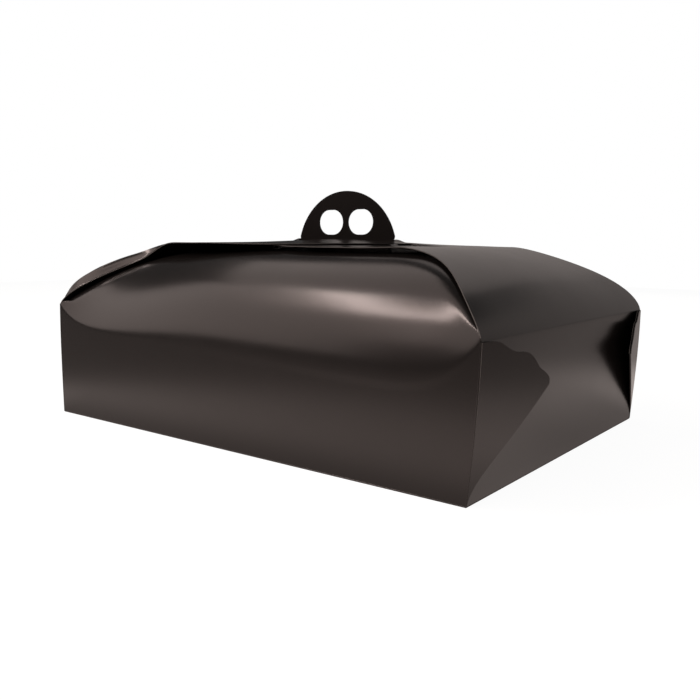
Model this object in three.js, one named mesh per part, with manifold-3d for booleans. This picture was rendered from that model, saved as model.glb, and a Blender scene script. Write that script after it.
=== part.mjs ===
import * as THREE from "three";
import { mergeVertices } from "three/addons/utils/BufferGeometryUtils.js";
import Module from "manifold-3d";

// Cake box with a carry handle, folded from one sheet of coated card.
// Millimetres, +Z up. The origin is the centre of the underside.
// X runs along the two long sides and Y runs across them.

// Card
const cardThickness = 0.6;
const layerGap = 0.6;
const handleGap = 0.4;

// Walls, up to the top of the corner folds
const boxLength = 347.5;
const boxWidth = 252.5;
const cornerHeight = 82.5;
const endWallLean = 4;
const sideWallLean = 3;

// End panels, which curve in and run on as the two lid flaps
const flapHeight = 127.3;
const leftFlapRise = 1.7;
const endCurveReach = 80;
const middleFullness = 1.62;
const edgeFullness = { left: 1.2, right: 1.54 };
const flapWidth = 150;
const edgeCurveRun = 84;
const flapReach = 58;
const flapRounding = 93;
const crownHeight = 4;
const crownReach = 95;

// Slots that the handle comes up through
const slotWidth = 4.4;
const slotEndMargin = 11.5;
const slotSpare = 5;

// Side panels, which curve in under the flaps and narrow to the handle
const sideCurveDepth = 1.3;
const sideCurveReach = 69;
const sideCurveFullness = 1.8;
const sidePanelTaper = 0.7;
const sidePanelDrop = 2.6;
const sidePanelBlend = 6;
const neckBend = 3;

// Handle
const neckWidth = 79;
const handleWidth = 86.6;
const shoulderHeight = 3.2;
const handleRise = 32.8;
const fingerHoleWidth = 23;
const fingerHoleHeight = 18.1;
const fingerHoleSpacing = 27.2;
const fingerHoleDrop = 22.5;

// Corner gussets, two layers folded back outside each end wall
const gussetReach = 53.5;
const gussetTipHeight = 56;
const gussetTipRound = 4.5;
const gussetFoldBend = 0.2;
const gussetPressedShare = 0.12;
const gussetLift = { nearRight: 15, farRight: 12, nearLeft: 15, farLeft: 15 };

const wasm = await Module();
wasm.setup();

const halfLength = boxLength / 2;
const halfWidth = boxWidth / 2;
const halfCard = cardThickness / 2;
const layerStep = cardThickness + layerGap;
const halfSlot = slotWidth / 2;
const slotTipEnd = flapReach - slotEndMargin;
const slotBodyEnd = flapReach + slotSpare;
const cornerX = halfLength + endWallLean;
const cornerY = halfWidth - sideWallLean;
const flatStart = cornerX - endCurveReach;
const sideCurveTop = flapHeight - sideCurveDepth;
const sideCurveRise = sideCurveTop - cornerHeight;
const sideCurveInner = cornerY - sideCurveReach;
const handleY = (cardThickness + handleGap) / 2;
const neckHalf = neckWidth / 2;
const foldY = handleY + neckBend;
const shoulderTop = flapHeight + crownHeight + shoulderHeight;
const handleTop = shoulderTop + handleRise;

// Small helpers

const clamp01 = (value) => THREE.MathUtils.clamp(value, 0, 1);
const ease = (value) => THREE.MathUtils.smoothstep(value, 0, 1);
const mix = THREE.MathUtils.lerp;

function steps(from, to, count) {
  return Array.from({ length: count + 1 }, (_, i) => mix(from, to, i / count));
}

function smoothMin(a, b, blend) {
  if (blend <= 0) return Math.min(a, b);
  const share = clamp01(0.5 + (b - a) / (2 * blend));
  return mix(b, a, share) - blend * share * (1 - share);
}

// A closed mesh as a solid, turned face out if its mirrored grid left it inside out.
function solidFromGeometry(geometry) {
  const bare = geometry.clone();
  bare.deleteAttribute("normal");
  bare.deleteAttribute("uv");
  const merged = mergeVertices(bare, 1e-4);
  const vertProperties = new Float32Array(merged.attributes.position.array);
  const triVerts = new Uint32Array(merged.index.array);
  const made = new wasm.Manifold(new wasm.Mesh({ numProp: 3, vertProperties, triVerts }));
  if (made.volume() > 0) return made;
  return new wasm.Manifold(new wasm.Mesh({ numProp: 3, vertProperties, triVerts: triVerts.reverse() }));
}

function geometryFromRings(rings, closedRings) {
  const width = rings[0].length;
  const positions = rings.flat().flatMap((p) => [p.x, p.y, p.z]);
  const index = [];
  const span = closedRings ? width : width - 1;
  for (let i = 0; i < rings.length - 1; i += 1) {
    for (let j = 0; j < span; j += 1) {
      const a = i * width + j;
      const b = i * width + ((j + 1) % width);
      index.push(a, b, b + width, a, b + width, a + width);
    }
  }
  return { positions, index, width };
}

function geometryFromArrays(positions, index) {
  const geometry = new THREE.BufferGeometry();
  geometry.setAttribute("position", new THREE.Float32BufferAttribute(positions, 3));
  geometry.setIndex(index);
  return geometry;
}

// A rod through rings of points, closed by a fan at each end.
function rodThroughRings(rings) {
  const { positions, index, width } = geometryFromRings(rings, true);
  const last = (rings.length - 1) * width;
  for (let j = 1; j < width - 1; j += 1) {
    index.push(0, j + 1, j);
    index.push(last, last + j, last + j + 1);
  }
  return solidFromGeometry(geometryFromArrays(positions, index));
}

// A sheet of card from a grid of points on its middle surface.
function cardFromGrid(grid, halfThickness = halfCard) {
  const rowCount = grid.length;
  const width = grid[0].length;
  const normalAt = (i, j) => {
    const before = grid[Math.max(i - 1, 0)][j];
    const after = grid[Math.min(i + 1, rowCount - 1)][j];
    const left = grid[i][Math.max(j - 1, 0)];
    const right = grid[i][Math.min(j + 1, width - 1)];
    const along = new THREE.Vector3().subVectors(after, before);
    const across = new THREE.Vector3().subVectors(right, left);
    return along.cross(across).normalize();
  };
  const face = (side) =>
    grid.map((row, i) => row.map((p, j) => p.clone().addScaledVector(normalAt(i, j), side * halfThickness)));
  const upper = geometryFromRings(face(1), false);
  const lower = geometryFromRings(face(-1), false);
  const shift = rowCount * width;
  const index = [...upper.index];
  for (let k = 0; k < lower.index.length; k += 3) {
    index.push(lower.index[k] + shift, lower.index[k + 2] + shift, lower.index[k + 1] + shift);
  }
  const rim = [];
  for (let j = 0; j < width; j += 1) rim.push(j);
  for (let i = 1; i < rowCount; i += 1) rim.push(i * width + width - 1);
  for (let j = width - 2; j >= 0; j -= 1) rim.push((rowCount - 1) * width + j);
  for (let i = rowCount - 2; i > 0; i -= 1) rim.push(i * width);
  rim.forEach((a, k) => {
    const b = rim[(k + 1) % rim.length];
    index.push(b, a, a + shift, b, a + shift, b + shift);
  });
  return solidFromGeometry(geometryFromArrays([...upper.positions, ...lower.positions], index));
}

function prismFromShape(shape, depth, place) {
  const geometry = new THREE.ExtrudeGeometry(shape, { depth, bevelEnabled: false, curveSegments: 16 });
  return solidFromGeometry(geometry.applyMatrix4(place));
}

function stadium(width, height, centreX, centreY) {
  const radius = Math.min(width, height) / 2;
  const alongX = Math.max(width / 2 - radius, 0.01);
  const shape = new THREE.Shape();
  shape.absarc(centreX + alongX, centreY, radius, -Math.PI / 2, Math.PI / 2);
  shape.absarc(centreX - alongX, centreY, radius, Math.PI / 2, (3 * Math.PI) / 2);
  shape.closePath();
  return shape;
}

// Surfaces that the panels share

function cornerLine(z) {
  const share = clamp01(z / cornerHeight);
  return {
    x: halfLength + endWallLean * Math.sin((Math.PI / 2) * share),
    y: halfWidth - sideWallLean * share,
  };
}

// Height of the lid before the layers: flat, higher on the left, and crowned towards the handle.
function lidHeight(x, y) {
  const leftShare = clamp01(0.5 - x / (2 * flatStart)) ** 2;
  const alongX = 0.5 * (1 + Math.cos(Math.PI * clamp01(Math.abs(x) / crownReach)));
  const acrossY = 1 - clamp01((2 * Math.abs(y)) / flapWidth) ** 1.2;
  return flapHeight + leftFlapRise * leftShare + crownHeight * alongX * acrossY;
}

// Height of the lid and of the curved end panels, which are less full along their cut edges.
function endPanelHeight(x, y) {
  const share = clamp01((Math.abs(x) - flatStart) / endCurveReach);
  const edge = x < 0 ? edgeFullness.left : edgeFullness.right;
  const fullness = mix(middleFullness, edge, ease(2.5 * (Math.abs(y) / cornerY) - 0.75));
  const rise = lidHeight(x, y) - cornerHeight;
  return cornerHeight + rise * (1 - share ** fullness) ** (1 / fullness);
}

// Share of the layer step that a flap takes: full where the two flaps overlap, none further out.
function layerShare(ownX) {
  return 1 - ease((ownX - slotBodyEnd) / (flatStart - slotBodyEnd));
}

function undersideOfFlaps(x, y) {
  return endPanelHeight(x, y) - (layerStep / 2) * layerShare(Math.abs(x));
}

// End panel and lid flap

// Rows across the panel from the floor to the tip: distance from the middle and half width,
// and the height where the row is on the wall.
function endPanelRows() {
  const rows = [];
  for (const z of steps(halfCard, cornerHeight, 3)) {
    const corner = cornerLine(z);
    rows.push({ x: corner.x, half: corner.y, wallHeight: z });
  }
  let run = 0;
  let last = { x: cornerX, z: cornerHeight };
  for (const angle of steps(0, Math.PI / 2, 10).slice(1)) {
    const x = flatStart + endCurveReach * Math.cos(angle) ** (2 / middleFullness);
    const z = endPanelHeight(x, 0);
    run += Math.hypot(x - last.x, z - last.z);
    last = { x, z };
    rows.push({ x, half: flapHalfWidth(run) });
  }
  const straightEnd = flapRounding - flapReach;
  for (const x of steps(flatStart, straightEnd, 4).slice(1)) {
    rows.push({ x, half: flapHalfWidth(run + flatStart - x) });
  }
  for (const angle of steps(0, Math.PI / 2, 9).slice(1, -1)) {
    const x = straightEnd - flapRounding * Math.sin(angle);
    rows.push({ x, half: (flapWidth / 2) * Math.cos(angle) });
  }
  rows.push({ x: -flapReach, half: halfSlot + 3 * cardThickness });
  return rows;
}

function flapHalfWidth(run) {
  const ramp = 0.5 * (1 + Math.cos(Math.PI * clamp01(run / edgeCurveRun)));
  return mix(flapWidth / 2, cornerY, ramp);
}

// The front half of a flap lies under or over the other flap, and its back half the other way.
function endPanel(side) {
  const shares = steps(0, 1, 5);
  const grid = endPanelRows().map(({ x, half, wallHeight }) => {
    const point = (y) => {
      if (wallHeight) return new THREE.Vector3(side * x, y, wallHeight);
      const way = side * y > 0 ? 1 : -1;
      const layer = way * (layerStep / 2) * layerShare(x);
      return new THREE.Vector3(side * x, y, endPanelHeight(side * x, y) + layer);
    };
    const front = shares.map((share) => point(-mix(halfSlot, half, share))).reverse();
    const back = shares.map((share) => point(mix(halfSlot, half, share)));
    return [...front, ...back];
  });
  const slotLength = slotTipEnd + slotBodyEnd;
  const slotCentre = (side * (slotBodyEnd - slotTipEnd)) / 2;
  const depth = leftFlapRise + crownHeight + 8 * layerStep;
  const place = new THREE.Matrix4().makeTranslation(0, 0, flapHeight - 4 * layerStep);
  const slot = prismFromShape(stadium(slotLength, slotWidth, slotCentre, 0), depth, place);
  return cardFromGrid(grid).subtract(slot);
}

// Side panel

function sidePanelPoint(u, y, profileHeight, side) {
  const share = clamp01((y - foldY) / (cornerY - foldY));
  const half = mix(neckHalf, cornerX, share ** sidePanelTaper);
  const x = u * half;
  const away = ease((1 - share) / 0.04);
  const limit = undersideOfFlaps(x, y) - sidePanelDrop * away;
  const z = smoothMin(profileHeight, limit, sidePanelBlend * away);
  return new THREE.Vector3(x, side * y, z);
}

function sidePanel(side) {
  const across = steps(-1, 1, 18).map((u) => Math.sin((Math.PI / 2) * u));
  const grid = [];
  for (const z of steps(halfCard, cornerHeight, 3)) {
    const corner = cornerLine(z);
    grid.push(across.map((u) => new THREE.Vector3(u * corner.x, side * corner.y, z)));
  }
  for (const angle of steps(0, Math.PI / 2, 9).slice(1)) {
    const y = sideCurveInner + sideCurveReach * Math.cos(angle) ** (2 / sideCurveFullness);
    const z = cornerHeight + sideCurveRise * Math.sin(angle) ** (2 / sideCurveFullness);
    grid.push(across.map((u) => sidePanelPoint(u, y, z, side)));
  }
  for (const y of steps(sideCurveInner, foldY, 4).slice(1)) {
    const rise = (crownHeight * (sideCurveInner - y)) / (sideCurveInner - foldY);
    grid.push(across.map((u) => sidePanelPoint(u, y, sideCurveTop + rise, side)));
  }
  const lidEnd = grid[grid.length - 1];
  for (const angle of steps(0, Math.PI / 2, 3).slice(1)) {
    const inward = neckBend * Math.sin(angle);
    const rise = neckBend * (1 - Math.cos(angle));
    grid.push(lidEnd.map((p) => new THREE.Vector3(p.x, side * (foldY - inward), p.z + rise)));
  }
  return cardFromGrid(grid);
}

// Handle

// A neck that widens into shoulders over the lid, closed by one round arc.
function handleOutline() {
  const neckTop = shoulderTop - shoulderHeight;
  const half = handleWidth / 2;
  const radius = (half ** 2 + handleRise ** 2) / (2 * handleRise);
  const centre = handleTop - radius;
  const start = Math.atan2(shoulderTop - centre, half);
  const shape = new THREE.Shape();
  shape.moveTo(-neckHalf, flapHeight);
  shape.lineTo(neckHalf, flapHeight);
  shape.lineTo(neckHalf, neckTop);
  shape.quadraticCurveTo(half, neckTop, half, shoulderTop);
  shape.absarc(0, centre, radius, start, Math.PI - start);
  shape.quadraticCurveTo(-half, neckTop, -neckHalf, neckTop);
  shape.closePath();
  return shape;
}

function handleHalf(side) {
  const upright = new THREE.Matrix4().makeRotationX(Math.PI / 2);
  const place = new THREE.Matrix4().makeTranslation(0, side * handleY + halfCard, 0).multiply(upright);
  return prismFromShape(handleOutline(), cardThickness, place);
}

function fingerHoles() {
  const upright = new THREE.Matrix4().makeRotationX(Math.PI / 2);
  const place = new THREE.Matrix4().makeTranslation(0, 10 * cardThickness, 0).multiply(upright);
  const height = handleTop - fingerHoleDrop;
  return [-1, 1].map((way) => {
    const centre = (way * fingerHoleSpacing) / 2;
    return prismFromShape(stadium(fingerHoleWidth, fingerHoleHeight, centre, height), 20 * cardThickness, place);
  });
}

// Corner gussets

// The wavy cut top edge, from the corner fold to the tip of the diagonal fold: reach and height.
function gussetEdge() {
  const drop = cornerHeight - gussetTipHeight;
  const points = [
    [0, cornerHeight],
    [0.2 * gussetReach, cornerHeight - 0.02 * drop],
    [0.42 * gussetReach, cornerHeight - 0.2 * drop],
    [0.66 * gussetReach, cornerHeight - 0.29 * drop],
    [0.8 * gussetReach, cornerHeight - 0.53 * drop],
    [0.95 * gussetReach, gussetTipHeight + 1.6 * gussetTipRound],
    [gussetReach, gussetTipHeight + 0.9 * gussetTipRound],
    [gussetReach, gussetTipHeight],
  ];
  return new THREE.CatmullRomCurve3(points.map(([reach, z]) => new THREE.Vector3(reach, 0, z)));
}

// A point of the edge drawn back to the floor corner, with the rays closing up towards the corner fold.
function drawnBack(p, share) {
  const bend = (1 - Math.exp(-share / gussetFoldBend)) / (1 - Math.exp(-1 / gussetFoldBend));
  const angle = Math.atan2(p.x, p.z) * bend;
  const radius = share * Math.hypot(p.x, p.z);
  return { reach: radius * Math.sin(angle), z: radius * Math.cos(angle), angle };
}

// One strip of card: the outer layer, round the diagonal fold and back as the inner layer.
function gusset(sideX, sideY, liftDegrees) {
  const lift = THREE.MathUtils.degToRad(liftDegrees);
  const apart = layerStep / 2;
  const place = (reach, z, off) => {
    const corner = cornerLine(z);
    const x = corner.x + reach * Math.sin(lift) + off * Math.cos(lift);
    const y = corner.y - reach * Math.cos(lift) + off * Math.sin(lift);
    return new THREE.Vector3(sideX * x, sideY * y, z);
  };
  const edge = gussetEdge().getPoints(11);
  const tip = edge[edge.length - 1];
  const layer = (share, off) =>
    edge.map((p) => {
      const { reach, z } = drawnBack(p, share);
      return place(reach, z, off);
    });
  const diagonalFold = (share) => {
    const { reach, z, angle } = drawnBack(tip, share);
    return steps(0, Math.PI, 4)
      .slice(1, -1)
      .map((turn) => {
        const outward = apart * Math.sin(turn);
        return place(reach + outward * Math.cos(angle), z - outward * Math.sin(angle), apart * Math.cos(turn));
      });
  };
  const strip = cardFromGrid(
    steps(gussetPressedShare, 1, 4).map((share) => [
      ...layer(share, apart),
      ...diagonalFold(share),
      ...layer(share, -apart).reverse(),
    ]),
  );
  const pressedCorner = cardFromGrid(
    [gussetPressedShare / 8, 1.2 * gussetPressedShare].map((share) => {
      const { reach, z } = drawnBack(tip, share);
      return [place(0, share * cornerHeight, 0), place(reach, z, 0)];
    }),
    apart,
  );
  return [strip, pressedCorner, cornerFold(sideX, sideY, apart + cardThickness)];
}

// The folds of the gusset and both walls meet along the corner.
function cornerFold(sideX, sideY, radius) {
  const around = steps(0, 2 * Math.PI, 6).slice(1);
  return rodThroughRings(
    steps(halfCard, cornerHeight - cardThickness, 3).map((z) => {
      const corner = cornerLine(z);
      return around.map((angle) => {
        const x = sideX * corner.x + radius * Math.cos(angle);
        const y = sideY * corner.y + radius * Math.sin(angle);
        return new THREE.Vector3(x, y, z);
      });
    }),
  );
}

// Whole box

function base() {
  const geometry = new THREE.BoxGeometry(boxLength + cardThickness, boxWidth + cardThickness, cardThickness);
  return solidFromGeometry(geometry.translate(0, 0, halfCard));
}

function foldedCarton() {
  const pieces = [
    base(),
    endPanel(1),
    endPanel(-1),
    sidePanel(-1),
    sidePanel(1),
    handleHalf(-1),
    handleHalf(1),
    ...gusset(1, -1, gussetLift.nearRight),
    ...gusset(1, 1, gussetLift.farRight),
    ...gusset(-1, -1, gussetLift.nearLeft),
    ...gusset(-1, 1, gussetLift.farLeft),
  ];
  let whole = pieces.reduce((sum, piece) => sum.add(piece));
  for (const hole of fingerHoles()) whole = whole.subtract(hole);
  const mesh = whole.getMesh();
  return geometryFromArrays(Array.from(mesh.vertProperties), Array.from(mesh.triVerts));
}

const coatedCard = new THREE.MeshStandardMaterial({
  name: "coated_card",
  color: "#3f3a37",
  roughness: 0.35,
  metalness: 0,
});

function namedMesh(name, geometry, material) {
  geometry.computeVertexNormals();
  const mesh = new THREE.Mesh(geometry, material);
  mesh.name = name;
  return mesh;
}

const cakeBox = new THREE.Group();
cakeBox.name = "cake_box";
cakeBox.add(namedMesh("folded_carton", foldedCarton(), coatedCard));

export default cakeBox;
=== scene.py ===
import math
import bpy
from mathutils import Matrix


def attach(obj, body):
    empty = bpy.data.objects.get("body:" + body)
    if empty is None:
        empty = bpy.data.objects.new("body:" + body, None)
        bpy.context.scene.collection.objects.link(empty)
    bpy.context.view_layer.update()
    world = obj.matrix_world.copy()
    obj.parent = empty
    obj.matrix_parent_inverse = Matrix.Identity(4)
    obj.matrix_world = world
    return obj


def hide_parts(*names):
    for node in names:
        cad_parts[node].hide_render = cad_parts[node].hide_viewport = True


bl_info = {
    "name": "Folded cake box",
    "version": (1, 0, 0),
    "blender": (4, 5, 0),
    "location": "View3D > Sidebar > Cake box",
    "description": "A closed cake carry box of dark coated card, with its studio",
    "category": "Add Mesh",
}

import bpy
import numpy as np
from bpy.props import FloatProperty, FloatVectorProperty, PointerProperty
from mathutils import Matrix, Vector
from mathutils.geometry import delaunay_2d_cdt

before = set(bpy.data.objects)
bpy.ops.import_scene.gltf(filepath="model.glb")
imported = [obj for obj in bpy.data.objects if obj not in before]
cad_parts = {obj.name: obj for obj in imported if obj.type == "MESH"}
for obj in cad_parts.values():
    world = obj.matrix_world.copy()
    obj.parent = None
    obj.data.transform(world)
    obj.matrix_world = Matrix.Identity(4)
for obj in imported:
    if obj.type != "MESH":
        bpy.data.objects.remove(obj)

CARTON = "folded_carton"
MM = 0.001
FRAME_PX = 700
SENSOR_MM = 36
SHARP_ANGLE = math.radians(40)

# How finely the panels are divided.
WALL_ROWS = 30
CURVE_ROWS = 60
SIDE_CURVE_ROWS = 64
LID_ROWS = 26
END_COLUMNS = 44
SIDE_COLUMNS = 120

# The slot starts this far past the other flap's tip, and a flap's two halves part in height there.
TIP_MARGIN = 5 * MM

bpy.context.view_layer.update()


def length(name, default_mm, description):
    return FloatProperty(
        name=name, description=description, default=default_mm * MM, unit="LENGTH", precision=4
    )


def angle(name, default_degrees, description):
    default = math.radians(default_degrees)
    return FloatProperty(name=name, description=description, default=default, subtype="ANGLE")


def factor(name, default, description):
    return FloatProperty(
        name=name, description=description, default=default, subtype="FACTOR", min=0, max=1
    )


def number(name, default, description, subtype="UNSIGNED"):
    return FloatProperty(name=name, description=description, default=default, subtype=subtype)


def vector(name, default, description, subtype="COLOR"):
    return FloatVectorProperty(
        name=name, description=description, default=default, subtype=subtype, size=3
    )


class CartonSizes(bpy.types.PropertyGroup):
    """Sizes of the folded card"""

    card: length("Card", 0.55, "Thickness of the card")
    layer_step: length("Layer step", 1.2, "From the middle of one flap to the middle of the one on it")
    length_x: length("Length", 347.5, "Base along the handle")
    width_y: length("Width", 252.5, "Base across the handle")
    corner_height: length("Corner height", 82.5, "Height of the corner folds")
    end_lean: length("End lean", 4, "How far the end walls lean out")
    side_lean: length("Side lean", 3, "How far the side walls lean in at the corners")
    side_belly: length("Side belly", 24, "How far below the corner folds the side panels start to curve")
    flap_height: length("Flap height", 127.3, "Height of the lid at its right edge")
    left_rise: length("Left rise", 1.7, "How much higher the lid is at its left edge")
    end_reach: length("End curve reach", 80, "Distance over which an end panel curves in")
    flap_width: length("Flap width", 150, "Width of a lid flap")
    edge_run: length("Edge run", 84, "Length of the flap's curved side edges")
    flap_reach: length("Flap reach", 58, "How far a flap's tip passes the middle")
    flap_rounding: length("Flap rounding", 93, "Length of the flap's rounded end")
    crown: length("Crown", 4, "Rise of the lid towards the handle")
    crown_reach: length("Crown reach", 95, "Distance over which the crown falls away along the box")
    slot_width: length("Slot width", 3.6, "Width of the slot for the handle")
    slot_end: length("Slot end margin", 11.5, "Card left between slot and tip")
    slot_curl: length("Slot curl", 2, "How far the card at the end of a slot curls up")
    side_depth: length("Side depth", 1.3, "How far under the flaps the side panels run")
    side_reach: length("Side curve reach", 69, "Distance over which a side panel curves in")
    side_drop: length("Side drop", 2.2, "Room between a side panel and the end panel over it")
    side_blend: length("Side blend", 6, "Softness of the side panel's dip under the end panels")
    neck_bend: length("Neck bend", 3, "Radius of the bend into the handle")
    fold_radius: length("Fold radius", 0.45, "Radius of the pressed folds")
    curl_width: length("Curl width", 4.5, "Width of the margin that droops at the left end's front edge")
    fullness: number("Fullness", 1.6, "Power of the end panels' curve in the middle")
    edge_fullness: number("Edge fullness", 1.55, "Power of the curve at the cut edges")
    left_fullness: number("Left fullness", 1.72, "Power of the curve behind the drooping margin")
    curled: number("Curled fullness", 1.26, "Power of the curve at the drooping edge")
    side_fullness: number("Side fullness", 1.8, "Power of the side panels' curve")


class HandleSizes(bpy.types.PropertyGroup):
    """Sizes of the carry handle"""

    neck: length("Neck", 79, "Width where it comes out of the slot")
    width: length("Width", 86.6, "Width at the shoulders")
    shoulder: length("Shoulder", 3.2, "Height of the shoulders over the lid")
    rise: length("Rise", 32.8, "Height over the shoulders")
    gap: length("Gap", 0.45, "Gap between the two halves")
    hole_width: length("Hole width", 23, "Width of a finger hole")
    hole_height: length("Hole height", 18.1, "Height of a finger hole")
    hole_spacing: length("Hole spacing", 27.2, "Between the middles of the finger holes")
    hole_drop: length("Hole drop", 22.5, "From the top of the handle to the middle of the holes")


class GussetSizes(bpy.types.PropertyGroup):
    """Sizes of the corner gussets"""

    reach: length("Reach", 53.6, "How far the diagonal fold reaches along the end wall")
    tip_height: length("Tip height", 57, "Height of the top of the diagonal fold")
    fold: length("Fold", 1.1, "Distance between the two layers at the diagonal fold")
    bend: factor("Fold bend", 0.2, "How soon the diagonal fold leaves the corner")
    lift_near: angle("Lift, near", 15, "How far the gusset nearest the camera turns off the wall")
    lift_far: angle("Lift, far", 12, "How far the other gusset of that wall turns off it")


class CardFinish(bpy.types.PropertyGroup):
    """Look of the coated card"""

    colour: vector("Card", (0.011, 0.0092, 0.0085), "Colour of the card")
    edge: vector("Cut edge", (0.1, 0.09, 0.084), "Colour of a cut edge")
    sheen: vector("Sheen", (1, 0.9, 0.87), "Tint of the reflections")
    roughness: factor("Roughness", 0.23, "Roughness of the card")
    coat: factor("Coat", 0.15, "Strength of the clear coat")
    coat_roughness: factor("Coat roughness", 0.15, "Roughness of the clear coat")
    grain: factor("Grain", 0.25, "Strength of the fine grain")


class StudioSettings(bpy.types.PropertyGroup):
    """Camera and lamps"""

    focal_px: number("Focal length", 763.8, "In pixels of the 700 pixel frame", subtype="PIXEL")
    place: vector("Camera", (0.3480, -0.4503, 0.1290), "Place of the camera", "TRANSLATION")
    yaw: angle("Yaw", 37.319, "Turn about Z")
    pitch: angle("Pitch", 7.911, "Tilt down")
    roll: angle("Roll", 0.436, "Turn about the view")
    warmth: vector("Warmth", (1, 0.87, 0.82), "Colour of the lamps")
    key: number("Key", 17.0, "Radiance of the small bright lamp")
    side: number("Side", 1.2, "Radiance of the large soft lamp on the left")
    top: number("Top", 0.95, "Radiance of the soft lamp over the left end")
    back: number("Back", 0.24, "Radiance of the dim panel behind")
    front: number("Front", 2.6, "Radiance of the lamp in front of the box")
    room: number("Room", 0.05, "Light of the room")


def settings():
    scene = bpy.context.scene
    return scene.carton_sizes, scene.handle_sizes, scene.gusset_sizes


# Meshes from points and faces on a middle surface


def thick_mesh(name, points, faces, thickness):
    """A closed sheet of card with its cut rim as material 1."""
    points = np.asarray(points, float)
    faces = np.asarray(faces, int)
    corners = points[faces]
    face_normals = np.cross(corners[:, 2] - corners[:, 0], corners[:, -1] - corners[:, 1])
    normals = np.zeros_like(points)
    for k in range(faces.shape[1]):
        np.add.at(normals, faces[:, k], face_normals)
    sizes = np.linalg.norm(normals, axis=1, keepdims=True)
    normals /= np.where(sizes > 0, sizes, 1)
    count = len(points)
    open_edges = {}
    for face in faces.tolist():
        for a, b in zip(face, face[1:] + face[:1]):
            if (b, a) in open_edges:
                del open_edges[(b, a)]
            else:
                open_edges[(a, b)] = True
    rim = [(b, a, a + count, b + count) for a, b in open_edges]
    both = np.vstack((points + normals * thickness / 2, points - normals * thickness / 2))
    mesh = bpy.data.meshes.new(name)
    mesh.from_pydata(both.tolist(), [], faces.tolist() + (faces[:, ::-1] + count).tolist() + rim)
    slots = np.zeros(2 * len(faces) + len(rim), np.int32)
    slots[2 * len(faces):] = 1
    mesh.polygons.foreach_set("material_index", slots)
    finish_mesh(mesh)
    return mesh


def finish_mesh(mesh):
    mesh.shade_smooth()
    mesh.set_sharp_from_angle(angle=SHARP_ANGLE)
    mesh.update()


def grid_faces(rows, columns, skip=None):
    corner = np.arange(rows * columns).reshape(rows, columns)
    quads = np.stack((corner[:-1, :-1], corner[:-1, 1:], corner[1:, 1:], corner[1:, :-1]), -1)
    if skip is not None:
        return quads[~skip]
    return quads.reshape(-1, 4)


def add_piece(name, mesh):
    """Links a finished piece that stands for the folded carton."""
    piece = bpy.data.objects.new(name, mesh)
    bpy.context.scene.collection.objects.link(piece)
    if not mesh.materials:
        mesh.materials.append(card_material())
        mesh.materials.append(cut_edge_material())
    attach(piece, "root")
    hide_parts(CARTON)


# Surfaces that the panels share


def ease(value):
    value = np.clip(value, 0, 1)
    return value * value * (3 - 2 * value)


def mix(a, b, share):
    return a + (b - a) * share


def corner_line(s, z):
    share = np.clip(z / s.corner_height, 0, 1)
    x = s.length_x / 2 + s.end_lean * np.sin(math.pi / 2 * share)
    return x, s.width_y / 2 - s.side_lean * share


def corner_top(s):
    return s.length_x / 2 + s.end_lean, s.width_y / 2 - s.side_lean


def flat_start(s):
    return corner_top(s)[0] - s.end_reach


def lid_height(s, x, y):
    left = np.clip(0.5 - x / (2 * flat_start(s)), 0, 1) ** 2
    along = 0.5 * (1 + np.cos(math.pi * np.clip(np.abs(x) / s.crown_reach, 0, 1)))
    across = 1 - np.clip(2 * np.abs(y) / s.flap_width, 0, 1) ** 1.2
    return s.flap_height + s.left_rise * left + s.crown * along * across


def end_height(s, x, y, curl=1):
    """Height of the end panels, whose front margin droops on the left.

    The droop's width is multiplied by curl.
    """
    half = corner_top(s)[1]
    power = mix(s.fullness, s.edge_fullness, ease(1.5 * np.abs(y) / half - 0.1))
    share = np.clip((np.abs(x) - flat_start(s)) / s.end_reach, 0, 1)
    swell = mix(s.fullness, s.left_fullness + 0.6 * ease(1 - 2 * share), ease(np.abs(y) / (0.6 * half)))
    margin = (cut_edge(s, np.abs(x)) - np.abs(y)) / (s.curl_width * curl)
    rounded = mix(swell, s.curled, ease(1 - margin) * ease(share / 0.45))
    power = np.where((x < 0) & (y < 0), rounded, power)
    return curved_height(s, np.abs(x), lid_height(s, x, y), power)


def curved_height(s, distance, lid, power):
    share = np.clip((distance - flat_start(s)) / s.end_reach, 0, 1)
    return s.corner_height + (lid - s.corner_height) * (1 - share**power) ** (1 / power)


def cut_edge(s, distance):
    """Half width of an end panel, which narrows along its curve."""
    x = flat_start(s) + s.end_reach * np.cos(np.linspace(0, math.pi / 2, CURVE_ROWS)) ** (2 / s.fullness)
    z = curved_height(s, x, s.flap_height, s.fullness)
    run = np.concatenate(([0], np.cumsum(np.hypot(np.diff(x), np.diff(z)))))
    flat_run = np.maximum(flat_start(s) - distance, 0)
    run = np.interp(-distance, -x, run) + flat_run
    ramp = 0.5 * (1 + np.cos(math.pi * np.clip(run / s.edge_run, 0, 1)))
    return mix(s.flap_width / 2, corner_top(s)[1], ramp)


def layer_share(s, own_x):
    start = s.flap_reach + TIP_MARGIN
    return 1 - ease((own_x - start) / (flat_start(s) - start))


def under_flaps(s, x, y):
    return end_height(s, x, y, curl=8) - s.layer_step / 2 * layer_share(s, np.abs(x))


def smooth_min(a, b, blend):
    blend = np.maximum(blend, 1e-9)
    share = np.clip(0.5 + (b - a) / (2 * blend), 0, 1)
    return mix(b, a, share) - blend * share * (1 - share)


# End panels


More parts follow.
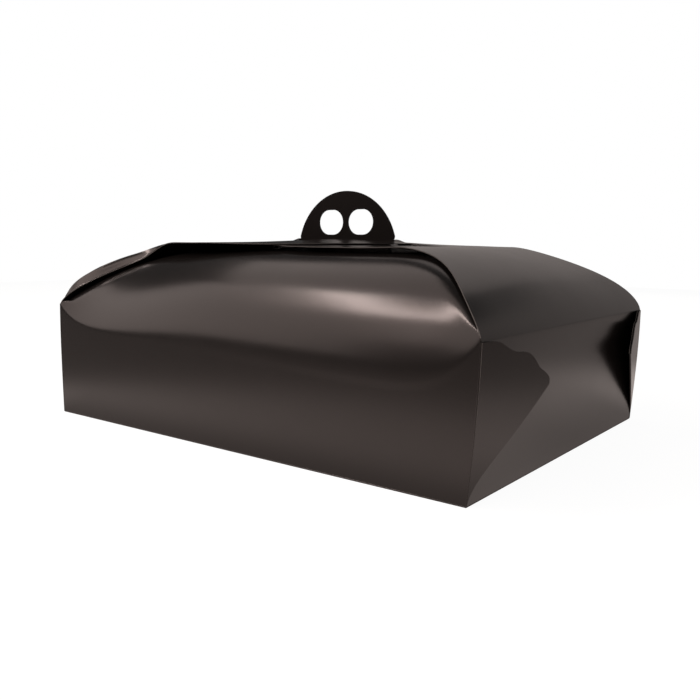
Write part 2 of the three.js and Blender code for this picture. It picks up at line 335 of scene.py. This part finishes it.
def end_rows(s):
    """Rows from the floor to the tip: distance from the middle, half width and height on the wall."""
    z = np.linspace(s.card / 2, s.corner_height, WALL_ROWS)
    x, half = corner_line(s, z)
    rows = list(zip(x, half, z))
    angles = np.linspace(0, math.pi / 2, CURVE_ROWS)[1:]
    straight_end = s.flap_rounding - s.flap_reach
    curve = flat_start(s) + s.end_reach * np.cos(angles) ** (2 / s.fullness)
    flat = np.linspace(flat_start(s), straight_end, LID_ROWS)[1:]
    lid = np.concatenate((curve, flat))
    rows += [(a, b, 0) for a, b in zip(lid, cut_edge(s, lid))]
    tip = np.linspace(0, math.pi / 2, CURVE_ROWS)[1:-1]
    tip_x = straight_end - s.flap_rounding * np.sin(tip)
    rows += [(a, b, 0) for a, b in zip(tip_x, s.flap_width / 2 * np.cos(tip))]
    least = s.slot_width / 2 + 1.2 * MM
    return np.array([row for row in rows if row[1] > least])


def end_panel_mesh(s, side):
    x, half, wall = end_rows(s).T
    half_slot = s.slot_width / 2
    shares = 0.5 - 0.5 * np.cos(np.linspace(0, math.pi, END_COLUMNS))
    out = half_slot + (half[:, None] - half_slot) * shares
    inside = np.linspace(-half_slot, half_slot, 5)[None, 1:-1].repeat(len(x), 0)
    y = np.hstack((-out[:, ::-1], inside, out))
    own = np.repeat(x[:, None], y.shape[1], 1)
    slot_tip = s.flap_reach - s.slot_end
    over = ease(0.5 + side * y / s.slot_width)
    layer = mix(-1, 1, over) * s.layer_step / 2 * layer_share(s, own)
    curl = s.slot_curl * over * np.exp(-(((own + slot_tip) / (6 * MM)) ** 2) - (y / (9 * MM)) ** 2)
    lid = end_height(s, side * own, y) + layer + curl
    height = np.where(wall[:, None] > 0, wall[:, None], lid)
    points = np.stack((side * own, y, height), -1)
    skip = np.zeros((len(x) - 1, y.shape[1] - 1), bool)
    cut = (x[:-1] < s.flap_reach + TIP_MARGIN) & (x[1:] > -slot_tip)
    skip[cut, END_COLUMNS - 1:END_COLUMNS + 3] = True
    name = f"end_panel_{'right' if side > 0 else 'left'}"
    return thick_mesh(name, points.reshape(-1, 3), grid_faces(*y.shape, skip), s.card)


# Side panels


def side_panel_mesh(s, h, side):
    u = np.sin(np.linspace(-math.pi / 2, math.pi / 2, SIDE_COLUMNS))
    corner_y = corner_top(s)[1]
    inner = corner_y - s.side_reach
    fold_y = (s.card + h.gap) / 2 + s.neck_bend
    top = s.flap_height - s.side_depth
    belly = s.side_belly * (1 - u**10) * (1 + 0.3 * u)
    start = s.corner_height - belly
    rows = []
    for share in np.linspace(0, 1, WALL_ROWS)[:-1]:
        z = s.card / 2 + (start - s.card / 2) * share
        x, y = corner_line(s, z)
        rows.append(np.stack((u * x, side * y, z), -1))
    power = s.side_fullness + 0.35 * belly / s.side_belly
    if side < 0:
        # The front panel is less full towards its left end.
        power = power - 0.5 * ease(-1.15 * u)
    reach = corner_line(s, start)[1] - inner
    for slant in np.linspace(0, math.pi / 2, SIDE_CURVE_ROWS):
        y = inner + reach * np.cos(slant) ** (2 / power)
        z = start + (top - start) * np.sin(slant) ** (2 / power)
        rows.append(lid_row(s, h, u, y, z, side, fold_y))
    for y in np.linspace(inner, fold_y, LID_ROWS)[1:]:
        z = top + s.crown * (inner - y) / (inner - fold_y)
        rows.append(lid_row(s, h, u, y, z, side, fold_y))
    last = rows[-1]
    for slant in np.linspace(0, math.pi / 2, 8)[1:]:
        row = last.copy()
        row[:, 1] = side * (fold_y - s.neck_bend * math.sin(slant))
        row[:, 2] += s.neck_bend * (1 - math.cos(slant))
        rows.append(row)
    points = np.array(rows)
    name = f"side_panel_{'back' if side > 0 else 'front'}"
    return thick_mesh(name, points.reshape(-1, 3), grid_faces(*points.shape[:2]), s.card)


def lid_row(s, h, u, y, z, side, fold_y):
    share = np.clip((y - fold_y) / (corner_top(s)[1] - fold_y), 0, 1)
    half = mix(h.neck / 2, corner_line(s, np.minimum(z, s.corner_height))[0], share**0.7)
    x = u * half
    away = ease((1 - share) / 0.04)
    limit = under_flaps(s, x, y) - s.side_drop * away
    blend = s.side_blend * away * np.where(side < 0, 1 + 2 * ease(-1.4 * u), 1)
    height = np.where(z <= s.corner_height, z, smooth_min(z, limit, blend))
    return np.stack((x, side * y + 0 * x, height), -1)


# Handle


def arc(centre_x, centre_z, radius, start, end, count):
    angles = np.linspace(start, end, count)
    return list(zip(centre_x + radius * np.cos(angles), centre_z + radius * np.sin(angles)))


def handle_mesh(s, h, side):
    """Half of the handle: an upright sheet with the two finger holes left open."""
    lid = s.flap_height + s.crown
    shoulder = lid + h.shoulder
    top = shoulder + h.rise
    neck, half = h.neck / 2, h.width / 2
    radius = (half**2 + h.rise**2) / (2 * h.rise)
    start = math.atan2(shoulder - (top - radius), half)
    curve = []
    for t in np.linspace(0, 1, 9):
        curve.append((mix(mix(neck, half, t), half, t), mix(lid, mix(lid, shoulder, t), t)))
    outline = [(-neck, s.flap_height - MM), (neck, s.flap_height - MM), *curve]
    outline += arc(0, top - radius, radius, start, math.pi - start, 120)[1:-1]
    outline += [(-x, z) for x, z in reversed(curve)]
    bend = h.hole_height / 2
    straight = h.hole_width / 2 - bend
    holes = []
    for centre in (-h.hole_spacing / 2, h.hole_spacing / 2):
        z = top - h.hole_drop
        right_side = arc(centre + straight, z, bend, -math.pi / 2, math.pi / 2, 28)
        holes.append(right_side + arc(centre - straight, z, bend, math.pi / 2, 3 * math.pi / 2, 28))
    verts, edges = [], []
    for loop in [outline, *holes]:
        first = len(verts)
        verts += [Vector(p) for p in loop]
        edges += [(first + k, first + (k + 1) % len(loop)) for k in range(len(loop))]
    found, _, faces, *_ = delaunay_2d_cdt(verts, edges, [], 1, 1e-7)
    flat = np.array([tuple(v) for v in found])
    faces = np.array(faces)
    middle = flat[faces].mean(axis=1)
    to_centre = np.abs(np.abs(middle[:, 0]) - h.hole_spacing / 2)
    away = np.hypot(np.maximum(to_centre - straight, 0), middle[:, 1] - (top - h.hole_drop))
    faces = faces[away > bend]
    y = side * (s.card + h.gap) / 2
    points = np.stack((flat[:, 0], np.full(len(flat), y), flat[:, 1]), -1)
    return thick_mesh(f"handle_{'back' if side > 0 else 'front'}", points, faces, s.card)


# Corner gussets

# The wavy cut edge, as shares of the reach and of the drop from the corner fold to the tip.
GUSSET_EDGE = np.array([
    (0, 0), (0.12, 0), (0.19, 0.004), (0.25, 0.03), (0.31, 0.09), (0.39, 0.18),
    (0.47, 0.24), (0.55, 0.265), (0.62, 0.275), (0.68, 0.32), (0.74, 0.41), (0.785, 0.51),
    (0.84, 0.63), (0.93, 0.745), (0.99, 0.86), (1, 1),
])


def catmull_rom(keys, count):
    padded = np.vstack((2 * keys[0] - keys[1], keys, 2 * keys[-1] - keys[-2]))
    at = np.linspace(0, len(keys) - 1, count)
    k = np.minimum(at.astype(int), len(keys) - 2)
    t = (at - k)[:, None]
    a, b, c, d = padded[k], padded[k + 1], padded[k + 2], padded[k + 3]
    square = (2 * a - 5 * b + 4 * c - d) * t**2
    cube = (3 * b - a - 3 * c + d) * t**3
    return 0.5 * (2 * b + (c - a) * t + square + cube)


def gusset_mesh(s, g, side_x, side_y, lift):
    """One strip: the outer layer, round the diagonal fold and back as the inner layer."""
    shares = catmull_rom(GUSSET_EDGE, 60)
    edge_reach = shares[:, 0] * g.reach
    edge_z = s.corner_height - shares[:, 1] * (s.corner_height - g.tip_height)
    slants = np.arctan2(edge_reach, edge_z)
    radii = np.hypot(edge_reach, edge_z)
    turn = np.linspace(0, math.pi, 9)[1:-1]
    rows = []
    for share in np.linspace(0.02, 1, 44):
        bend = (1 - math.exp(-share / g.bend)) / (1 - math.exp(-1 / g.bend))
        slant = slants * bend
        reach = share * radii * np.sin(slant)
        z = share * radii * np.cos(slant)
        spread = g.fold / 2 * (0.3 + 0.7 * share)
        outward = spread * np.sin(turn)
        fold_reach = reach[-1] + outward * math.cos(slant[-1])
        fold_z = z[-1] - outward * math.sin(slant[-1])
        all_reach = np.concatenate((reach, fold_reach, reach[::-1]))
        all_z = np.concatenate((z, fold_z, z[::-1]))
        layer = np.full(len(reach), spread)
        off = np.concatenate((layer, spread * np.cos(turn), -layer))
        corner_at, corner_y = corner_line(s, all_z)
        x = corner_at + all_reach * math.sin(lift) + off * math.cos(lift)
        y = corner_y - all_reach * math.cos(lift) + off * math.sin(lift)
        rows.append(np.stack((side_x * x, side_y * y, all_z), -1))
    points = np.array(rows)
    name = f"gusset_{'right' if side_x > 0 else 'left'}_{'back' if side_y > 0 else 'front'}"
    return thick_mesh(name, points.reshape(-1, 3), grid_faces(*points.shape[:2]), s.card)


# Pressed folds


def fold_paths(s):
    """Chains of points along the edges of the base and up the four corners."""
    x, y = s.length_x / 2, s.width_y / 2
    low = s.fold_radius
    base = [(x, -y, low), (x, y, low), (-x, y, low), (-x, -y, low), (x, -y, low)]
    heights = np.linspace(low, s.corner_height, 12)
    at_x, at_y = corner_line(s, heights)
    chains = [base]
    for side_x in (1, -1):
        for side_y in (1, -1):
            chains.append(list(zip(side_x * at_x, side_y * at_y, heights)))
    return chains


def fold_nodes(material):
    """A node group that runs a round bead of card along the edges of a mesh."""
    group = bpy.data.node_groups.new("pressed_folds", "GeometryNodeTree")
    group.interface.new_socket("Geometry", in_out="INPUT", socket_type="NodeSocketGeometry")
    group.interface.new_socket("Radius", in_out="INPUT", socket_type="NodeSocketFloat")
    group.interface.new_socket("Spacing", in_out="INPUT", socket_type="NodeSocketFloat")
    group.interface.new_socket("Geometry", in_out="OUTPUT", socket_type="NodeSocketGeometry")
    start = group.nodes.new("NodeGroupInput")
    end = group.nodes.new("NodeGroupOutput")
    to_curve = group.nodes.new("GeometryNodeMeshToCurve")
    resample = group.nodes.new("GeometryNodeResampleCurve")
    resample.mode = "LENGTH"
    circle = group.nodes.new("GeometryNodeCurvePrimitiveCircle")
    circle.inputs["Resolution"].default_value = 12
    sweep = group.nodes.new("GeometryNodeCurveToMesh")
    sweep.inputs["Fill Caps"].default_value = True
    realize = group.nodes.new("GeometryNodeRealizeInstances")
    paint = group.nodes.new("GeometryNodeSetMaterial")
    paint.inputs["Material"].default_value = material
    link = group.links.new
    link(start.outputs["Geometry"], to_curve.inputs["Mesh"])
    link(to_curve.outputs["Curve"], resample.inputs["Curve"])
    link(start.outputs["Spacing"], resample.inputs["Length"])
    link(start.outputs["Radius"], circle.inputs["Radius"])
    link(resample.outputs["Curve"], sweep.inputs["Curve"])
    link(circle.outputs["Curve"], sweep.inputs["Profile Curve"])
    link(sweep.outputs["Mesh"], realize.inputs["Geometry"])
    link(realize.outputs["Geometry"], paint.inputs["Geometry"])
    link(paint.outputs["Geometry"], end.inputs["Geometry"])
    return group


def swept_mesh(name, chains, group, values):
    """The plain mesh of a node group run on chains of points."""
    verts, edges = [], []
    for chain in chains:
        first = len(verts)
        verts += [tuple(float(v) for v in p) for p in chain]
        edges += [(first + k, first + k + 1) for k in range(len(chain) - 1)]
    guide = bpy.data.objects.new(f"{name}_guide", bpy.data.meshes.new(f"{name}_guide"))
    guide.data.from_pydata(verts, edges, [])
    bpy.context.scene.collection.objects.link(guide)
    modifier = guide.modifiers.new("path", "NODES")
    modifier.node_group = group
    for item in group.interface.items_tree:
        if item.name in values and item.in_out == "INPUT":
            modifier[item.identifier] = values[item.name]
    graph = bpy.context.evaluated_depsgraph_get()
    mesh = bpy.data.meshes.new_from_object(guide.evaluated_get(graph))
    mesh.name = name
    bpy.data.objects.remove(guide)
    finish_mesh(mesh)
    return mesh


# Materials


def node(tree, kind, **values):
    made = tree.nodes.new(kind)
    for key, value in values.items():
        if key in made.inputs:
            made.inputs[key].default_value = value
        else:
            setattr(made, key, value)
    return made


# With gloss below 1 this makes a copy of the card that reflects less, which paints shade.
def card_material(name="satin_card", gloss=1):
    if name in bpy.data.materials:
        return bpy.data.materials[name]
    f = bpy.context.scene.card_finish
    material = bpy.data.materials.new(name)
    material.use_nodes = True
    tree = material.node_tree
    shader = tree.nodes["Principled BSDF"]
    shader.inputs["Base Color"].default_value = (*f.colour, 1)
    shader.inputs["Specular Tint"].default_value = (*f.sheen, 1)
    shader.inputs["Specular IOR Level"].default_value = 0.5 * gloss
    shader.inputs["Coat Weight"].default_value = f.coat * gloss
    shader.inputs["Coat Roughness"].default_value = f.coat_roughness
    place = node(tree, "ShaderNodeTexCoord")
    fine = node(tree, "ShaderNodeTexNoise", Scale=1000.0, Detail=3.0)
    slow = node(tree, "ShaderNodeTexNoise", Scale=40.0, Detail=4.0)
    tree.links.new(place.outputs["Object"], fine.inputs["Vector"])
    tree.links.new(place.outputs["Object"], slow.inputs["Vector"])
    rough = node(tree, "ShaderNodeMapRange")
    rough.inputs["To Min"].default_value = f.roughness - 0.03
    rough.inputs["To Max"].default_value = f.roughness + 0.03
    tree.links.new(slow.outputs["Fac"], rough.inputs["Value"])
    tree.links.new(rough.outputs["Result"], shader.inputs["Roughness"])
    bump = node(tree, "ShaderNodeBump", Strength=f.grain, Distance=0.0001)
    tree.links.new(fine.outputs["Fac"], bump.inputs["Height"])
    tree.links.new(bump.outputs["Normal"], shader.inputs["Normal"])
    return material


def cut_edge_material():
    if "fibre_edge" in bpy.data.materials:
        return bpy.data.materials["fibre_edge"]
    f = bpy.context.scene.card_finish
    material = bpy.data.materials.new("fibre_edge")
    material.use_nodes = True
    tree = material.node_tree
    shader = tree.nodes["Principled BSDF"]
    shader.inputs["Roughness"].default_value = 0.7
    place = node(tree, "ShaderNodeTexCoord")
    fibre = node(tree, "ShaderNodeTexNoise", Scale=900.0, Detail=4.0)
    tree.links.new(place.outputs["Object"], fibre.inputs["Vector"])
    blend = node(tree, "ShaderNodeMix", data_type="RGBA")
    blend.inputs["A"].default_value = (*(0.6 * c for c in f.edge), 1)
    blend.inputs["B"].default_value = (*(1.4 * c for c in f.edge), 1)
    tree.links.new(fibre.outputs["Fac"], blend.inputs["Factor"])
    tree.links.new(blend.outputs["Result"], shader.inputs["Base Color"])
    return material


# Operators


class CARTON_OT_base(bpy.types.Operator):
    """Adds the flat base"""

    bl_idname = "carton.base"
    bl_label = "Base"

    def execute(self, context):
        s, _, _ = settings()
        x = np.linspace(-s.length_x / 2, s.length_x / 2, 30)
        y = np.linspace(-s.width_y / 2, s.width_y / 2, 22)
        grid = np.stack((*np.meshgrid(x, y), np.full((len(y), len(x)), s.card / 2)), -1)
        faces = grid_faces(len(y), len(x))
        add_piece("base", thick_mesh("base", grid.reshape(-1, 3), faces, s.card))
        return {"FINISHED"}


class CARTON_OT_end_panels(bpy.types.Operator):
    """Adds the two end panels with their lid flaps"""

    bl_idname = "carton.end_panels"
    bl_label = "End panels"

    def execute(self, context):
        s, _, _ = settings()
        for side in (1, -1):
            mesh = end_panel_mesh(s, side)
            add_piece(mesh.name, mesh)
        return {"FINISHED"}


class CARTON_OT_side_panels(bpy.types.Operator):
    """Adds the two side panels, up to the neck of the handle"""

    bl_idname = "carton.side_panels"
    bl_label = "Side panels"

    def execute(self, context):
        s, h, _ = settings()
        for side in (-1, 1):
            mesh = side_panel_mesh(s, h, side)
            add_piece(mesh.name, mesh)
        return {"FINISHED"}


class CARTON_OT_handle(bpy.types.Operator):
    """Adds the two halves of the handle"""

    bl_idname = "carton.handle"
    bl_label = "Handle"

    def execute(self, context):
        s, h, _ = settings()
        for side in (-1, 1):
            mesh = handle_mesh(s, h, side)
            # The handle's copy of the card keeps a tenth of the card's reflection: painted shade that
            # darkens the handle.
            mesh.materials.append(card_material("card_with_painted_shade", 0.1))
            mesh.materials.append(cut_edge_material())
            add_piece(mesh.name, mesh)
        return {"FINISHED"}


class CARTON_OT_gussets(bpy.types.Operator):
    """Adds the four corner gussets"""

    bl_idname = "carton.gussets"
    bl_label = "Corner gussets"

    def execute(self, context):
        s, _, g = settings()
        for side_x, side_y in ((1, -1), (1, 1), (-1, -1), (-1, 1)):
            lift = g.lift_far if (side_x, side_y) == (1, 1) else g.lift_near
            mesh = gusset_mesh(s, g, side_x, side_y, lift)
            add_piece(mesh.name, mesh)
        return {"FINISHED"}


class CARTON_OT_folds(bpy.types.Operator):
    """Adds the pressed folds along the base and up the corners"""

    bl_idname = "carton.folds"
    bl_label = "Pressed folds"

    def execute(self, context):
        s, _, _ = settings()
        group = fold_nodes(card_material())
        values = {"Radius": s.fold_radius, "Spacing": 4 * MM}
        mesh = swept_mesh("pressed_folds", fold_paths(s), group, values)
        add_piece("pressed_folds", mesh)
        return {"FINISHED"}


class CARTON_OT_studio(bpy.types.Operator):
    """Adds the floor, the lamps, the room light and the camera"""

    bl_idname = "carton.studio"
    bl_label = "Studio"

    def execute(self, context):
        add_floor()
        add_lamps()
        add_room()
        add_camera()
        return {"FINISHED"}


def add_floor():
    """A pale floor, evenly white to the camera. Every other surface sees it glow with painted light, a
    bright patch with a darker surround.
    """
    s, _, _ = settings()
    mesh = bpy.data.meshes.new("floor")
    mesh.from_pydata([(-2, -2, 0), (2, -2, 0), (2, 2, 0), (-2, 2, 0)], [], [(0, 1, 2, 3)])
    floor = bpy.data.objects.new("floor", mesh)
    bpy.context.scene.collection.objects.link(floor)
    material = bpy.data.materials.new("pale_floor")
    material.use_nodes = True
    tree = material.node_tree
    shader = tree.nodes["Principled BSDF"]
    shader.inputs["Base Color"].default_value = (0.85, 0.85, 0.85, 1)
    shader.inputs["Roughness"].default_value = 0.7
    place = node(tree, "ShaderNodeTexCoord")
    parts = node(tree, "ShaderNodeSeparateXYZ")
    along = math_node(tree, "ADD", parts.outputs["X"], parts.outputs["Y"])
    radius = node(tree, "ShaderNodeVectorMath", operation="LENGTH")
    # Painted light: a pool of light on the floor, brightest by the box's front left, fading to a dimmer
    # surround further out.
    near = map_range(tree, -0.6, -0.4, 0.68, 1.05)
    # Painted shade: the floor's glow dims towards the back.
    right = map_range(tree, -0.12, 0.06, 1, 0.62)
    distant = map_range(tree, -0.3, 0.5, 0.25, 0.5)
    edge = map_range(tree, 0.33, 0.47, 0, 1)
    light = node(tree, "ShaderNodeMix", data_type="FLOAT")
    # Painted shadow: the floor's glow is at half strength at the foot of the box and at full strength 9
    # cm out.
    size_x = math_node(tree, "ABSOLUTE", parts.outputs["X"])
    size_y = math_node(tree, "ABSOLUTE", parts.outputs["Y"])
    off_x = math_node(tree, "SUBTRACT", size_x, s.length_x / 2)
    off_y = math_node(tree, "SUBTRACT", size_y, s.width_y / 2)
    shade = map_range(tree, 0, 0.09, 0.5, 1)
    warmth = (*bpy.context.scene.studio_settings.warmth, 1)
    # The floor glows in the lamps' colour for every ray but the camera's. This glow is painted light,
    # not a lamp.
    glow = node(tree, "ShaderNodeEmission", Color=warmth)
    white = node(tree, "ShaderNodeEmission", Strength=1.2)
    lit = node(tree, "ShaderNodeMixShader", Fac=0.8)
    path = node(tree, "ShaderNodeLightPath")
    blend = node(tree, "ShaderNodeMixShader")
    link = tree.links.new
    link(place.outputs["Object"], parts.inputs[0])
    link(place.outputs["Object"], radius.inputs[0])
    link(along, near.inputs["Value"])
    link(along, distant.inputs["Value"])
    link(parts.outputs["Y"], right.inputs["Value"])
    link(radius.outputs["Value"], edge.inputs["Value"])
    link(edge.outputs["Result"], light.inputs["Factor"])
    link(near.outputs["Result"], light.inputs["A"])
    link(distant.outputs["Result"], light.inputs["B"])
    link(math_node(tree, "MAXIMUM", off_x, off_y), shade.inputs["Value"])
    shaded = math_node(tree, "MULTIPLY", light.outputs["Result"], shade.outputs["Result"])
    link(math_node(tree, "MULTIPLY", shaded, right.outputs["Result"]), glow.inputs["Strength"])
    link(shader.outputs[0], lit.inputs[1])
    link(white.outputs[0], lit.inputs[2])
    link(path.outputs["Is Camera Ray"], blend.inputs[0])
    link(glow.outputs[0], blend.inputs[1])
    link(lit.outputs[0], blend.inputs[2])
    link(blend.outputs[0], tree.nodes["Material Output"].inputs["Surface"])
    floor.data.materials.append(material)


def math_node(tree, operation, *values):
    """The output of a math node fed with numbers or sockets."""
    made = node(tree, "ShaderNodeMath", operation=operation)
    for socket, value in zip(made.inputs, values):
        if isinstance(value, bpy.types.NodeSocket):
            tree.links.new(value, socket)
        else:
            socket.default_value = value
    return made.outputs[0]


def map_range(tree, low, high, to_low, to_high):
    made = node(tree, "ShaderNodeMapRange", interpolation_type="SMOOTHSTEP")
    ends = {"From Min": low, "From Max": high, "To Min": to_low, "To Max": to_high}
    for name, value in ends.items():
        made.inputs[name].default_value = value
    return made


def add_lamp(name, place, target, along, size_x, size_y, radiance):
    """A soft lamp at a place, facing a target, with its long side along a direction."""
    lamp = bpy.data.lights.new(name, "AREA")
    lamp.shape = "RECTANGLE"
    lamp.size = size_x
    lamp.size_y = size_y
    lamp.energy = radiance * math.pi * size_x * size_y
    lamp.color = bpy.context.scene.studio_settings.warmth
    holder = bpy.data.objects.new(name, lamp)
    back = (Vector(place) - Vector(target)).normalized()
    up = back.cross(Vector(along)).normalized()
    turn = Matrix((up.cross(back), up, back)).transposed()
    holder.matrix_world = Matrix.Translation(place) @ turn.to_4x4()
    holder.visible_camera = False
    bpy.context.scene.collection.objects.link(holder)


def add_lamps():
    studio = bpy.context.scene.studio_settings
    box = (0, 0, 0.1)
    front = (0.12, -0.12, 0.1)
    level = (1, 0, 0)
    lamps = (
        ("key_lamp", (-0.58, -0.60, 0.90), front, (0.12, -0.37, -0.20), 0.43, 0.10, studio.key),
        ("side_lamp", (-1.21, -0.88, 0.745), (0, 0, 0.3), (0.6, -0.8, 0), 1.35, 1.15, studio.side),
        ("top_lamp", (-0.87, 0.0, 1.3), (-0.87, 0.0, 0), (0, 1, 0), 1.2, 0.95, studio.top),
        ("front_lamp", (-0.15, -1.15, 0.8), box, level, 0.9, 0.6, studio.front),
        ("back_lamp", (0.65, 1.5, 0.45), (0.65, 0, 0.1), level, 1.25, 0.8, studio.back),
        ("back_left_lamp", (-0.64, 1.5, 0.7), (-0.64, 0, 0.1), level, 1.3, 1.25, 1.3 * studio.back),
    )
    for lamp in lamps:
        add_lamp(*lamp)


def add_room():
    """White where the camera looks, dim for everything else."""
    world = bpy.data.worlds.new("room")
    bpy.context.scene.world = world
    world.use_nodes = True
    tree = world.node_tree
    background = tree.nodes["Background"]
    background.inputs["Color"].default_value = (1, 1, 1, 1)
    path = node(tree, "ShaderNodeLightPath")
    strength = node(tree, "ShaderNodeMapRange")
    strength.inputs["To Min"].default_value = bpy.context.scene.studio_settings.room
    tree.links.new(path.outputs["Is Camera Ray"], strength.inputs["Value"])
    tree.links.new(strength.outputs["Result"], background.inputs["Strength"])


def add_camera():
    studio = bpy.context.scene.studio_settings
    lens = bpy.data.cameras.new("camera")
    lens.sensor_width = SENSOR_MM
    lens.lens = SENSOR_MM * studio.focal_px / FRAME_PX
    lens.clip_start = 0.01
    camera = bpy.data.objects.new("camera", lens)
    yaw = Matrix.Rotation(studio.yaw, 4, "Z")
    pitch = Matrix.Rotation(math.pi / 2 - studio.pitch, 4, "X")
    roll = Matrix.Rotation(studio.roll, 4, "Z")
    camera.matrix_world = Matrix.Translation(studio.place) @ (yaw @ pitch) @ roll
    bpy.context.scene.collection.objects.link(camera)
    bpy.context.scene.camera = camera
    bpy.context.scene.view_settings.view_transform = "Standard"


class CARTON_PT_panel(bpy.types.Panel):
    """Sizes and steps of the cake box"""

    bl_idname = "CARTON_PT_panel"
    bl_label = "Cake box"
    bl_space_type = "VIEW_3D"
    bl_region_type = "UI"
    bl_category = "Cake box"

    def draw(self, context):
        for operator in OPERATORS:
            self.layout.operator(operator.bl_idname)
        for name, _ in GROUPS:
            box = self.layout.box()
            group = getattr(context.scene, name)
            for key in group.__annotations__:
                box.prop(group, key)


OPERATORS = (
    CARTON_OT_base,
    CARTON_OT_end_panels,
    CARTON_OT_side_panels,
    CARTON_OT_handle,
    CARTON_OT_gussets,
    CARTON_OT_folds,
    CARTON_OT_studio,
)
GROUPS = (
    ("carton_sizes", CartonSizes),
    ("handle_sizes", HandleSizes),
    ("gusset_sizes", GussetSizes),
    ("card_finish", CardFinish),
    ("studio_settings", StudioSettings),
)


def register():
    for _, group in GROUPS:
        bpy.utils.register_class(group)
    for name, group in GROUPS:
        setattr(bpy.types.Scene, name, PointerProperty(type=group))
    for made in (*OPERATORS, CARTON_PT_panel):
        bpy.utils.register_class(made)


def unregister():
    for made in (CARTON_PT_panel, *reversed(OPERATORS)):
        bpy.utils.unregister_class(made)
    for name, group in reversed(GROUPS):
        delattr(bpy.types.Scene, name)
        bpy.utils.unregister_class(group)


def main():
    register()
    bpy.ops.carton.base()
    bpy.ops.carton.end_panels()
    bpy.ops.carton.side_panels()
    bpy.ops.carton.handle()
    bpy.ops.carton.gussets()
    bpy.ops.carton.folds()
    bpy.ops.carton.studio()


if __name__ == "__main__":
    main()
